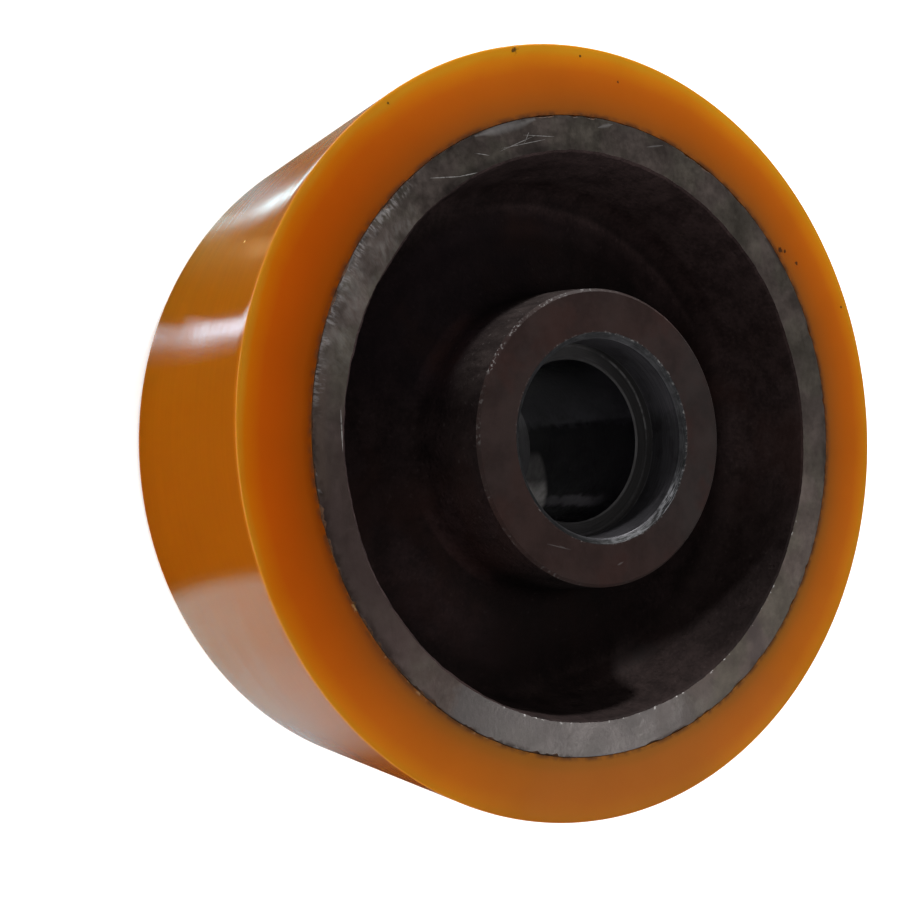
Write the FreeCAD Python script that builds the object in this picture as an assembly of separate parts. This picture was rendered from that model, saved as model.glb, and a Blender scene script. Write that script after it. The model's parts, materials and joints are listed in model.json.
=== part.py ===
"""Heavy-duty polyurethane wheel: a cast-iron centre with a bonded polyurethane tyre.

The wheel lies on one end of its hub, with its axis along +Z and its origin at the middle of the wheel.
Both ends are alike, so each section is drawn for the upper end and mirrored. Sizes are in millimetres.
"""

import FreeCAD, Part
import math
import os

# Tyre
WHEEL_DIAMETER = 200.0
TREAD_WIDTH = 80.0
TYRE_THICKNESS = 17.5
TREAD_EDGE_RADIUS = 1.2

# Rim, as wide as the tyre and machined flush with it
RIM_WALL = 9.2
RIM_EDGE_BREAK = 0.5

# Web and the cast pockets on both sides of it
WEB_THICKNESS = 24.0
POCKET_DRAFT = 5.0
POCKET_FILLET = 6.5

# Hub
HUB_WALL = 12.7
HUB_OVERHANG = 2.0
HUB_EDGE_CHAMFER = 0.8

# Bearing seats, one in each end of the hub
SEAT_DIAMETER = 52.0
SEAT_DEPTH = 15.0
SEAT_LEAD_IN = 1.5
SHOULDER_WIDTH = 4.0
SHOULDER_EDGE_BREAK = 0.5
RELIEF_WIDTH = 2.0
RELIEF_DEPTH = 0.4

# Worked out from the sizes above
tread_radius = WHEEL_DIAMETER / 2
bond_radius = tread_radius - TYRE_THICKNESS
rim_half_width = TREAD_WIDTH / 2
rim_inner_radius = bond_radius - RIM_WALL
web_half_thickness = WEB_THICKNESS / 2
hub_half_length = rim_half_width + HUB_OVERHANG
seat_radius = SEAT_DIAMETER / 2
hub_radius = seat_radius + HUB_WALL
bore_radius = seat_radius - SHOULDER_WIDTH
shoulder_height = hub_half_length - SEAT_DEPTH
draft_slope = math.tan(math.radians(POCKET_DRAFT))
hub_root_radius = hub_radius + (hub_half_length - web_half_thickness) * draft_slope
rim_root_radius = rim_inner_radius - (rim_half_width - web_half_thickness) * draft_slope


def rounded_corner(before, corner, after, radius):
    """The arc of that radius that rounds a corner between its two neighbours."""
    towards = (before - corner).normalize()
    away = (after - corner).normalize()
    half_angle = towards.getAngle(away) / 2
    run = radius / math.tan(half_angle)
    bisector = (towards + away).normalize()
    middle = corner + bisector * (radius / math.sin(half_angle) - radius)
    return Part.Arc(corner + towards * run, middle, corner + away * run)


def revolved(corners):
    """A solid of revolution about Z from a closed section, given as (radius, height, rounding)."""
    points = [FreeCAD.Vector(radius, 0, height) for radius, height, rounding in corners]
    arcs = {}
    for i, (radius, height, rounding) in enumerate(corners):
        if rounding > 0:
            following = points[(i + 1) % len(points)]
            arcs[i] = rounded_corner(points[i - 1], points[i], following, rounding)
    edges = []
    for i in range(len(points)):
        j = (i + 1) % len(points)
        start = arcs[i].value(arcs[i].LastParameter) if i in arcs else points[i]
        end = arcs[j].value(arcs[j].FirstParameter) if j in arcs else points[j]
        edges.append(Part.LineSegment(start, end).toShape())
        if j in arcs:
            edges.append(arcs[j].toShape())
    section = Part.Face(Part.Wire(edges))
    return section.revolve(FreeCAD.Vector(0, 0, 0), FreeCAD.Vector(0, 0, 1), 360)


def both_ends(upper_corners):
    """The upper end's corners, followed by the same corners mirrored for the lower end."""
    lower = [(radius, -height, rounding) for radius, height, rounding in reversed(upper_corners)]
    return upper_corners + lower


def pocket_fillet():
    """The cast fillet at the web, held to the room that the pocket leaves for two of them."""
    room = min(rim_root_radius - hub_root_radius, rim_half_width - web_half_thickness)
    return min(POCKET_FILLET, 0.45 * room)


def wheel_centre():
    """Rim, web and hub in one casting, with a bearing seat, relief and shoulder in each end of the hub."""
    relief_radius = seat_radius + RELIEF_DEPTH
    seat_floor = shoulder_height + RELIEF_WIDTH
    fillet = pocket_fillet()
    bore = [
        (bore_radius, shoulder_height - SHOULDER_EDGE_BREAK, 0),
        (bore_radius + SHOULDER_EDGE_BREAK, shoulder_height, 0),
        (relief_radius, shoulder_height, 0),
        (relief_radius, seat_floor, 0),
        (seat_radius, seat_floor, 0),
        (seat_radius, hub_half_length - SEAT_LEAD_IN, 0),
        (seat_radius + SEAT_LEAD_IN, hub_half_length, 0),
    ]
    hub = [
        (hub_radius - HUB_EDGE_CHAMFER, hub_half_length, 0),
        (hub_radius, hub_half_length - HUB_EDGE_CHAMFER, 0),
        (hub_root_radius, web_half_thickness, fillet),
    ]
    rim = [
        (rim_root_radius, web_half_thickness, fillet),
        (rim_inner_radius, rim_half_width - RIM_EDGE_BREAK, 0),
        (rim_inner_radius + RIM_EDGE_BREAK, rim_half_width, 0),
        (bond_radius, rim_half_width, 0),
    ]
    return revolved(both_ends(bore + hub + rim))


def polyurethane_tyre():
    """The tyre's ring, cast on the rim, with its two tread edges rounded."""
    return revolved(both_ends([
        (bond_radius, rim_half_width, 0),
        (tread_radius, rim_half_width, TREAD_EDGE_RADIUS),
    ]))


os.makedirs("parts", exist_ok=True)
wheel_centre().exportStep("parts/wheel_centre.step")
polyurethane_tyre().exportStep("parts/polyurethane_tyre.step")
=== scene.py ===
import json
import math

import bpy
import numpy as np
from bpy.props import FloatProperty, FloatVectorProperty, IntProperty, PointerProperty
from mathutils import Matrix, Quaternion, Vector


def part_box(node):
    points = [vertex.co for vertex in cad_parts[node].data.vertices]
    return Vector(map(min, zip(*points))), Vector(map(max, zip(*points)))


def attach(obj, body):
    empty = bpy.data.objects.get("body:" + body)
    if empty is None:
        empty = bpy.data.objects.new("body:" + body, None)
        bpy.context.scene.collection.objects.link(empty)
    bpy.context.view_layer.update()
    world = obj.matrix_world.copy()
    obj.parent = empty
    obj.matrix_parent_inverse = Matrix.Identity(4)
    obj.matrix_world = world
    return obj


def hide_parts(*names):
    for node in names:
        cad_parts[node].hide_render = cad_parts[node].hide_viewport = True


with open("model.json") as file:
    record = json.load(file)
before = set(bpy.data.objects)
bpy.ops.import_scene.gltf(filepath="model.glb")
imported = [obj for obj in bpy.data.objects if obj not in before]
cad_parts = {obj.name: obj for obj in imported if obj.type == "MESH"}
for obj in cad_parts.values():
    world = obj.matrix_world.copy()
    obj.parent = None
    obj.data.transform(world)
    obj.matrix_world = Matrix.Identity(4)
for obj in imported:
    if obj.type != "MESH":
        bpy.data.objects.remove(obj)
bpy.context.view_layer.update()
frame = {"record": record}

bl_info = {
    "name": "Polyurethane wheel",
    "version": (1, 0, 0),
    "blender": (4, 5, 0),
    "location": "3D View > Sidebar > Wheel",
    "description": "Dresses a cast-iron wheel centre and the polyurethane tyre that is bonded round it",
    "category": "Object",
}

TYRE_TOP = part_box("polyurethane_tyre")[1]
CENTRE_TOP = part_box("wheel_centre")[1]
MOUNTS = {mount["name"]: mount for mount in frame["record"]["mounts"]}
SEAT = MOUNTS["upper_bearing_seat"]["dims"]["r_mm"] / 1000
BORE = MOUNTS["spacer_bore"]["dims"]["r_mm"] / 1000
MM = 0.001
FULL_TURN = 2 * math.pi

# Heights of the rim's face and of the hub's face, in millimetres
RIM_FACE = TYRE_TOP.z / MM
HUB_FACE = CENTRE_TOP.z / MM

# Angles in degrees: a notch beside the bond, the ledge in the bore, the high side of the tread
NOTCH_ANGLE = 224.5
LEDGE_ANGLE = 103
HIGH_SIDE = 190

# Edges that are sharper than this are shaded as edges
SHARP_ANGLE = math.radians(28)

# How the edges of rim and tyre stray from true circles: waves in a turn, size, angle of a crest
EDGE_DRIFT = {
    "lip": [(0, -0.1, 0), (1, 0.25, 265), (2, 0.35, 355), (3, 0.15, 50)],
    "bond": [(0, -0.05, 0), (1, 0.4, 90), (2, 0.6, 3), (3, 0.05, 10)],
    "tread": [(0, -0.2, 0), (1, 0.45, 85), (2, 0.2, 15)],
    "rear": [(0, -0.2, 0), (1, 0.3, 50), (2, 0.2, 330), (3, 0.15, 320), (4, 0.2, 323)],
}

# Dark spots in the polyurethane, and a pale one: angle, radius, height, size
TYRE_SPOTS = [
    (190.5, 99.5, 39.6, 0.9), (178.8, 98.2, 40, 0.35), (171.6, 93.6, 40, 0.35), (126.1, 84.4, 40, 0.9),
    (125.2, 85.6, 40, 0.55), (121.8, 87.4, 40, 0.55), (110.0, 97.4, 40, 0.4), (213.7, 98.8, 40, 0.35),
]
PALE_SPOT = (237.2, 100, 15.5, 0.45)

# How light the rim's face is round the wheel, by angle: painted reflection and shade
RIM_PAINTED_LIGHT = [
    (0, 0.85), (10, 0.7), (22, 0.5), (34, 0.53), (46, 0.66), (60, 0.8), (76, 0.86), (90, 0.66), (128, 0.64),
    (146, 0.78), (172, 0.62), (198, 0.61), (210, 0.48), (222, 0.8), (238, 1.07), (256, 0.99), (268, 0.82),
    (294, 0.55), (310, 0.8), (320, 0.7), (331, 0.92),
]

# Scratches and flakes: angle and radius of one end, of the other end, width
RIM_SCRATCHES = [
    (205.3, 74.2, 209.6, 75.7, 0.16), (209.0, 75.4, 214.7, 79.3, 0.18), (185.9, 77.6, 192.8, 79.0, 0.12),
    (188.1, 77.1, 198.1, 77.2, 0.12), (190.3, 78.3, 198.8, 76.7, 0.12), (191.3, 79.4, 192.9, 77.0, 0.1),
    (201.3, 76.7, 204.0, 78.6, 0.14), (261.3, 74.4, 268.8, 73.9, 0.25),
]
RIM_FLAKES = [
    (189.5, 82.3, 202.5, 82.2, 1.9), (160.4, 81.7, 164.0, 79.3, 0.35), (172.4, 82.2, 175.6, 80.6, 0.7),
    (226.7, 81.9, 224.0, 80.4, 0.9), (230.2, 81.8, 234.4, 81.8, 0.6), (235.1, 81.7, 238.5, 81.6, 0.8),
    (239.3, 81.4, 241.4, 81.2, 0.8), (271.5, 81.7, 272.4, 80.8, 0.5), (274.5, 81.3, 275.3, 80.2, 0.5),
]
HUB_SCRATCHES = [
    (321.0, 32.6, 334.0, 30.7, 0.2), (1.8, 33.2, 5.2, 32.7, 0.35), (327.0, 31.2, 331.0, 30.9, 0.12),
]

# How light the bearing seat's lead-in is round the wheel, by angle: painted light and shade
LEAD_IN_PAINTED_LIGHT = [
    (0, 0.009), (10, 0.015), (20, 0.0135), (29, 0.0095), (40, 0.023), (50, 0.078), (60, 0.05), (72, 0.034),
    (110, 0.058), (190, 0.05), (340, 0.006), (350, 0.0085),
]

# Colours of the card that the tread mirrors, by angle
CARD_TONES = [
    (178, (0.1, 0.3, 0.3)), (197, (0.15, 0.42, 0.4)), (202, (0.08, 0.32, 0.3)), (206, (0.0, 0.22, 0.22)),
    (212, (0.0, 0.24, 0.24)), (218, (0.1, 0.3, 0.24)), (224, (0.12, 0.29, 0.15)), (231, (0.14, 0.3, 0.1)),
    (237, (0.04, 0.15, 0.02)), (246, (0.0, 0.13, 0.02)), (258, (0.0, 0.05, 0.0)), (275, (0.0, 0.0, 0.0)),
    (288.2, (0.0, 0.0, 0.0)), (289.7, (0.0, 0.18, 0.12)), (290.6, (0.12, 0.5, 0.42)),
    (291.8, (0.6, 1.24, 1.28)), (299, (0.58, 1.2, 1.24)), (303, (0.5, 1.04, 1.08)),
    (311, (0.58, 1.08, 1.16)), (319, (0.57, 1.0, 1.1)), (326, (0.48, 0.8, 0.9)), (331, (0.28, 0.46, 0.52)),
    (336.5, (0.02, 0.08, 0.1)), (342, (0.0, 0.0, 0.02)),
]

# Radius that the card's slant turns about, and the radius that its fading is counted by, in millimetres
CARD_MIDDLE = 119
CARD_REACH = 200

# Softer glows beside that card: tint, strength, slant, levels by angle and by radius
GLOWS = {
    "broad_glow": (
        (0.68, 1.0, 1.12), 6.0, 0.5,
        [
            (207, 0), (210, 0.05), (212.5, 0.25), (214.8, 1), (216.2, 0.85), (218.2, 0.22), (220.5, 0.02),
            (222, 0),
        ],
        [
            (99, 0.15), (106, 0.19), (109.5, 0.28), (111.5, 0.45), (113, 0.64), (115, 0.95), (116.6, 0.72),
            (118, 0.85), (120, 1), (123, 1), (126, 0.7),
        ],
    ),
    "thin_glow": (
        (0.68, 1.0, 1.24), 7.6, 0.135,
        [
            (241.4, 0), (242.7, 0.05), (243.3, 0.45), (243.7, 1), (244.1, 0.72), (244.9, 0.6),
            (246.1, 0.36), (247.3, 0.12), (249.5, 0),
        ],
        [(100, 0.3), (104, 0.3), (107, 0.38), (110, 0.52), (113, 0.85), (122, 0.82), (125, 1)],
    ),
    "low_glow": (
        (0.35, 0.75, 1.0), 0.85, 0.0,
        [(208, 0), (212, 0.25), (214.5, 0.8), (217, 1), (219.5, 0.9), (222, 0.4), (225, 0.1), (228, 0)],
        [(99, 0.6), (104, 0.8), (108, 1), (111.5, 0.8), (114, 0.3), (117, 0)],
    ),
    "core_glow": (
        (0.85, 0.92, 1.1), 4.0, 0.0,
        [(242.6, 0), (243.4, 0.7), (244.1, 1), (244.7, 0.5), (245.4, 0)],
        [(106, 0), (109, 0.4), (117, 0.6), (121, 0.9), (126, 1)],
    ),
    "gold_glow": (
        (0.99, 0.71, 0.36), 1.0, 0.0,
        [(225, 0), (227, 0.8), (228.4, 1), (229.6, 0.7), (230.8, 0.15), (233, 0)],
        [(103, 0.12), (107, 0.2), (113, 0.29), (115, 0.42), (117, 0.65), (120, 1), (126, 1)],
    ),
}

# Colours of the sky, from the horizon to straight up
SKY = [(0.0, (1, 1, 1)), (0.3, (0.8, 0.8, 0.8)), (0.6, (0.16, 0.16, 0.165)), (1.0, (0.12, 0.12, 0.12))]


def length(name, description, default):
    """A property that holds a length in metres."""
    return FloatProperty(
        name=name, description=description, default=default, min=0, precision=5,
        subtype="DISTANCE", unit="LENGTH",
    )


def colour(name, description, default):
    """A property that holds a linear colour."""
    return FloatVectorProperty(
        name=name, description=description, default=default, min=0, max=1, size=3, subtype="COLOR"
    )


class WheelSizes(bpy.types.PropertyGroup):
    tread_radius: length("Tread radius", "From the axis to the tread", TYRE_TOP.x)
    half_width: length("Half width", "From the middle of the wheel to a face of the tyre", TYRE_TOP.z)
    tread_edge: length("Tread edge", "Rounding between the tread and a face of the tyre", 0.6 * MM)
    bond_radius: length("Bond radius", "From the axis to the joint of iron and polyurethane", CENTRE_TOP.x)
    rim_wall: length("Rim wall", "Thickness of the rim at its faces", 9.2 * MM)
    rim_edge: length("Rim edge", "Broken edge between the rim's face and the pocket", 0.5 * MM)
    web_half: length("Half web", "Half the thickness of the web", 12 * MM)
    pocket_draft: FloatProperty(
        name="Pocket draft", description="Slope of the cast pocket walls", default=math.radians(5),
        subtype="ANGLE",
    )
    pocket_fillet: length("Pocket fillet", "Cast rounding where the web meets hub and rim", 6.5 * MM)
    hub_half: length("Half hub", "From the middle of the wheel to an end of the hub", CENTRE_TOP.z)
    hub_radius: length("Hub radius", "Outer radius of the hub at its end", SEAT + 12.7 * MM)
    hub_edge: length("Hub edge", "Chamfer round the end of the hub", 0.8 * MM)
    seat_radius: length("Seat radius", "Radius of the bearing seat", SEAT)
    seat_depth: length("Seat depth", "From the end of the hub to the bearing shoulder", 15 * MM)
    lead_in: length("Lead-in", "Chamfer that starts a bearing into its seat", 1.5 * MM)
    bore_radius: length("Bore radius", "Radius of the bore between the two seats", BORE)
    shoulder_edge: length("Shoulder edge", "Broken edge of the bearing shoulder", 0.5 * MM)
    relief_width: length("Relief width", "Width of the groove at the foot of a seat", 2 * MM)
    relief_depth: length("Relief depth", "Depth of the groove at the foot of a seat", 0.4 * MM)
    cast_wave: length("Cast waviness", "How far the cast skin swells and dips", 0.22 * MM)
    bond_groove: length("Bond groove", "Depth of the open line between rim and tyre", 0.5 * MM)
    run_out: length("Run-out", "How far the tread is out of true", 0.9 * MM)
    segments: IntProperty(
        name="Segments", description="Divisions round the wheel", default=680, min=64, max=1440
    )


class WheelColours(bpy.types.PropertyGroup):
    # The lip and deep ambers hold painted light: a glow through the corners and shade in front of the iron
    amber_lip: colour("Amber lip", "Polyurethane at its outer corners", (0.46, 0.185, 0.009))
    amber: colour("Amber", "Polyurethane in the body of the tyre", (0.312, 0.0525, 0.0018))
    amber_deep: colour("Deep amber", "Polyurethane in front of the iron", (0.228, 0.0445, 0.002))
    ground_iron: colour("Ground iron", "Freshly ground face of the rim", (0.238, 0.192, 0.172))
    stained_iron: colour("Stained iron", "Older, browned patches of the rim's face", (0.15, 0.118, 0.104))
    cast_skin: colour("Cast skin", "Dark skin of the casting", (0.0075, 0.0048, 0.0048))
    cast_rust: colour("Rust", "Thin rust on the cast skin", (0.0115, 0.0058, 0.005))
    hub_oxide: colour("Hub oxide", "Brown film on the hub's end", (0.0192, 0.0119, 0.0112))
    bright_iron: colour("Bright iron", "Iron that is worn or cut bright", (0.52, 0.51, 0.50))
    seat_iron: colour("Seat iron", "Bluish turned iron of the bearing seat", (0.133, 0.127, 0.14))


class StudioSettings(bpy.types.PropertyGroup):
    camera_place: FloatVectorProperty(
        name="Camera", description="Where the camera is", default=(0, -0.19125, 0.29407),
        subtype="XYZ", unit="LENGTH",
    )
    camera_target: FloatVectorProperty(
        name="Target", description="Point on the camera's axis", default=(0.01722, -0.04704, 0.04),
        subtype="XYZ", unit="LENGTH",
    )
    camera_roll: FloatProperty(
        name="Roll", description="Turn of the camera about its axis", default=math.radians(91.43),
        subtype="ANGLE",
    )
    lens: FloatProperty(name="Lens", description="Focal length in millimetres", default=48.309)
    shift: FloatProperty(name="Shift", description="Vertical shift of the picture", default=0.08)
    floor: colour("Floor", "Colour of the floor", (0.93, 0.93, 0.93))


# Shader helpers

def rgba(value):
    """A colour with full alpha."""
    return (value[0], value[1], value[2], 1.0)


def toned(value, *factors):
    """A colour scaled by one factor, or by one for each channel."""
    return [channel * factor for channel, factor in zip(value, factors * 3)]


def amber_tone(value, red, green, blue):
    """A shade of amber: its red and green are scaled, and its blue is given."""
    return (red * value[0], green * value[1], blue)


def polar(angle, radius, height):
    """A point of the wheel from its angle in degrees and its radius and height in millimetres."""
    turn = math.radians(angle)
    return Vector((radius * math.cos(turn), radius * math.sin(turn), height)) * MM


class Shader:
    """Adds nodes to one tree. A value may be a number, a tuple or another node's output."""

    def __init__(self, tree):
        self.tree = tree

    def set(self, socket, value):
        if isinstance(value, bpy.types.NodeSocket):
            self.tree.links.new(value, socket)
        else:
            socket.default_value = value

    def add(self, kind, inputs=(), **settings):
        node = self.tree.nodes.new("ShaderNode" + kind)
        for name, value in settings.items():
            setattr(node, name, value)
        for name, value in dict(inputs).items():
            self.set(node.inputs[name], value)
        return node

    def math(self, operation, first, second=0.0, third=0.0):
        return self.add("Math", {0: first, 1: second, 2: third}, operation=operation).outputs[0]

    def fold(self, operation, values):
        result = values[0]
        for value in values[1:]:
            result = self.math(operation, result, value)
        return result

    def times(self, *values):
        return self.fold("MULTIPLY", values)

    def plus(self, *values):
        return self.fold("ADD", values)

    def most(self, *values):
        return self.fold("MAXIMUM", values)

    def minus(self, first, second):
        return self.math("SUBTRACT", first, second)

    def level(self, value, start, rise):
        """A level that starts at a number and rises with the value."""
        return self.math("MULTIPLY_ADD", value, rise, start)

    def vector(self, operation, first, second=(0, 0, 0), output=0):
        return self.add("VectorMath", {0: first, 1: second}, operation=operation).outputs[output]

    def scaled(self, vector, factor):
        return self.add("VectorMath", {0: vector, "Scale": factor}, operation="SCALE").outputs[0]

    def join(self, x=0.0, y=0.0, z=0.0):
        return self.add("CombineXYZ", {0: x, 1: y, 2: z}).outputs[0]

    def step(self, value, low, high, start=0.0, end=1.0):
        inputs = {"Value": value, "From Min": low, "From Max": high, "To Min": start, "To Max": end}
        return self.add("MapRange", inputs, interpolation_type="SMOOTHSTEP").outputs[0]

    def close_to(self, value, target, reach):
        """A mask of the places where a value is close to a target."""
        return self.step(self.math("ABSOLUTE", self.minus(value, target)), reach, 0.0)

    def mix(self, factor, first, second, blend="MIX"):
        inputs = {0: factor, 6: self.tint(first), 7: self.tint(second)}
        return self.add("Mix", inputs, data_type="RGBA", blend_type=blend).outputs[2]

    def tint(self, value):
        return value if isinstance(value, bpy.types.NodeSocket) else rgba(value)

    def noise(self, vector, scale, detail=2.0, roughness=0.5):
        inputs = {"Vector": vector, "Scale": scale, "Detail": detail, "Roughness": roughness}
        return self.add("TexNoise", inputs).outputs[0]

    def ramp(self, factor, stops):
        node = self.add("ValToRGB", {0: factor})
        elements = node.color_ramp.elements
        for element, (place, value) in zip(elements, (stops[0], stops[-1])):
            element.position = place
            element.color = rgba(value)
        for place, value in stops[1:-1]:
            elements.new(place).color = rgba(value)
        return node.outputs[0]

    def round_ramp(self, angle, stops):
        """A ramp right round the wheel, with its stops in degrees."""
        turn = self.math("DIVIDE", self.math("WRAP", angle, FULL_TURN, 0.0), FULL_TURN)
        return self.ramp(turn, [(degrees / 360, value) for degrees, value in stops])

    def effect(self, name, **inputs):
        node = self.add("Group", node_tree=bpy.data.node_groups[name])
        for socket, value in inputs.items():
            self.set(node.inputs[socket.replace("_", " ").capitalize()], value)
        return node.outputs

    def sector(self, angle, middle, half, fade):
        """A mask over part of the way round: its middle in degrees, its half width and fade in radians."""
        return self.effect("sector", angle=angle, middle=math.radians(middle), half=half, fade=fade)["Mask"]


def new_effect(name, inputs, outputs):
    """An empty shader node group with named sockets: its helper, its inputs and its outputs."""
    tree = bpy.data.node_groups.new(name, "ShaderNodeTree")
    for label, kind in inputs.items():
        tree.interface.new_socket(label, in_out="INPUT", socket_type="NodeSocket" + kind)
    for label, kind in outputs.items():
        tree.interface.new_socket(label, in_out="OUTPUT", socket_type="NodeSocket" + kind)
    start = tree.nodes.new("NodeGroupInput")
    end = tree.nodes.new("NodeGroupOutput")
    return Shader(tree), start.outputs, end.inputs


# Shared effects

def make_turned_coordinates():
    """Where a point lies: its place, its direction from the axis, its radius, its angle and its height."""
    outputs = {
        "Place": "Vector", "Around": "Vector", "Radius": "Float", "Angle": "Float", "Height": "Float",
    }
    sh, _, end = new_effect("turned_coordinates", {}, outputs)
    place = sh.add("TexCoord").outputs["Object"]
    parts = sh.add("SeparateXYZ", {0: place}).outputs
    flat = sh.join(parts[0], parts[1])
    sh.set(end["Place"], place)
    sh.set(end["Around"], sh.vector("NORMALIZE", flat))
    sh.set(end["Radius"], sh.vector("LENGTH", flat, output=1))
    sh.set(end["Angle"], sh.math("ARCTAN2", parts[1], parts[0]))
    sh.set(end["Height"], parts[2])


def make_patches():
    """Noise with its contrast raised between two levels, as a mask of patches."""
    inputs = {"Vector": "Vector", "Scale": "Float", "Detail": "Float", "Low": "Float", "High": "Float"}
    sh, start, end = new_effect("patches", inputs, {"Mask": "Float"})
    value = sh.noise(start["Vector"], start["Scale"], start["Detail"], 0.55)
    sh.set(end["Mask"], sh.step(value, start["Low"], start["High"]))


def make_tool_lines():
    """Fine lines that a tool leaves right round the wheel, across a radius or a height."""
    inputs = {"Across": "Float", "Around": "Vector", "Pitch": "Float", "Wander": "Float"}
    sh, start, end = new_effect("tool_lines", inputs, {"Lines": "Float"})
    depth = sh.join(0.0, 0.0, sh.times(start["Across"], start["Pitch"]))
    place = sh.vector("ADD", sh.scaled(start["Around"], start["Wander"]), depth)
    sh.set(end["Lines"], sh.noise(place, 1.0, 3.0, 0.6))


def make_sector():
    """A mask that covers part of the way round the wheel and fades at both ends."""
    inputs = {"Angle": "Float", "Middle": "Float", "Half": "Float", "Fade": "Float"}
    sh, start, end = new_effect("sector", inputs, {"Mask": "Float"})
    away = sh.minus(start["Angle"], start["Middle"])
    away = sh.math("ABSOLUTE", sh.math("WRAP", away, math.pi, -math.pi))
    sh.set(end["Mask"], sh.step(away, sh.plus(start["Half"], start["Fade"]), start["Half"]))


def make_scratch():
    """A straight scratch on a face of the wheel, between two points given by angle and radius."""
    inputs = {"Place": "Vector", "From": "Vector", "To": "Vector", "Width": "Float"}
    sh, start, end = new_effect("scratch", inputs, {"Mask": "Float"})
    run = sh.vector("SUBTRACT", start["To"], start["From"])
    out = sh.vector("SUBTRACT", start["Place"], start["From"])
    along = sh.vector("DOT_PRODUCT", out, run, output=1)
    whole = sh.vector("DOT_PRODUCT", run, run, output=1)
    share = sh.add("Clamp", {0: sh.math("DIVIDE", along, whole)}).outputs[0]
    gap = sh.vector("DISTANCE", out, sh.scaled(run, share), output=1)
    taper = sh.times(sh.step(share, 0.0, 0.3, 0.3, 1.0), sh.step(share, 1.0, 0.6, 0.2, 1.0))
    sh.set(end["Mask"], sh.step(gap, sh.times(start["Width"], taper), 0.0))


def make_speck():
    """A small uneven spot at one place."""
    inputs = {"Place": "Vector", "Centre": "Vector", "Size": "Float", "Uneven": "Float"}
    sh, start, end = new_effect("speck", inputs, {"Mask": "Float"})
    gap = sh.vector("DISTANCE", start["Place"], start["Centre"], output=1)
    gap = sh.times(gap, start["Uneven"])
    sh.set(end["Mask"], sh.step(gap, start["Size"], sh.times(start["Size"], 0.5)))


def make_casting_grain():
    """The skin of a sand casting: its grain and small pits as a height, and its tone."""
    inputs = {"Place": "Vector", "Grain": "Float"}
    sh, start, end = new_effect("casting_grain", inputs, {"Height": "Float", "Tone": "Float"})
    fine = sh.noise(start["Place"], start["Grain"], 4.0, 0.65)
    coarse = sh.noise(start["Place"], sh.times(start["Grain"], 0.18), 3.0, 0.55)
    spacing = sh.times(start["Grain"], 0.35)
    cells = sh.add("TexVoronoi", {"Vector": start["Place"], "Scale": spacing}).outputs[0]
    pits = sh.times(sh.step(cells, 0.30, 0.12), sh.step(coarse, 0.50, 0.62))
    height = sh.plus(sh.times(fine, 0.6), sh.times(coarse, 0.8))
    sh.set(end["Height"], sh.minus(height, sh.times(pits, 0.5)))
    sh.set(end["Tone"], sh.step(sh.plus(sh.times(fine, 0.5), sh.times(coarse, 0.5)), 0.36, 0.64))


def make_rust():
    """A colour with thin rust over part of it."""
    inputs = {"Place": "Vector", "Colour": "Color", "Rust": "Color", "Amount": "Float"}
    sh, start, end = new_effect("rust", inputs, {"Colour": "Color"})
    cloud = sh.noise(start["Place"], 45, 5.0, 0.6)
    reach = sh.minus(0.64, sh.times(start["Amount"], 0.35))
    mask = sh.step(cloud, reach, sh.plus(reach, 0.32))
    sh.set(end["Colour"], sh.mix(mask, start["Colour"], start["Rust"]))


def make_effects():
    """Builds the shared effects once."""
    if "turned_coordinates" in bpy.data.node_groups:
        return
    for make in (
        make_turned_coordinates, make_patches, make_tool_lines, make_sector, make_scratch,
        make_speck, make_casting_grain, make_rust,
    ):
        make()


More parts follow.
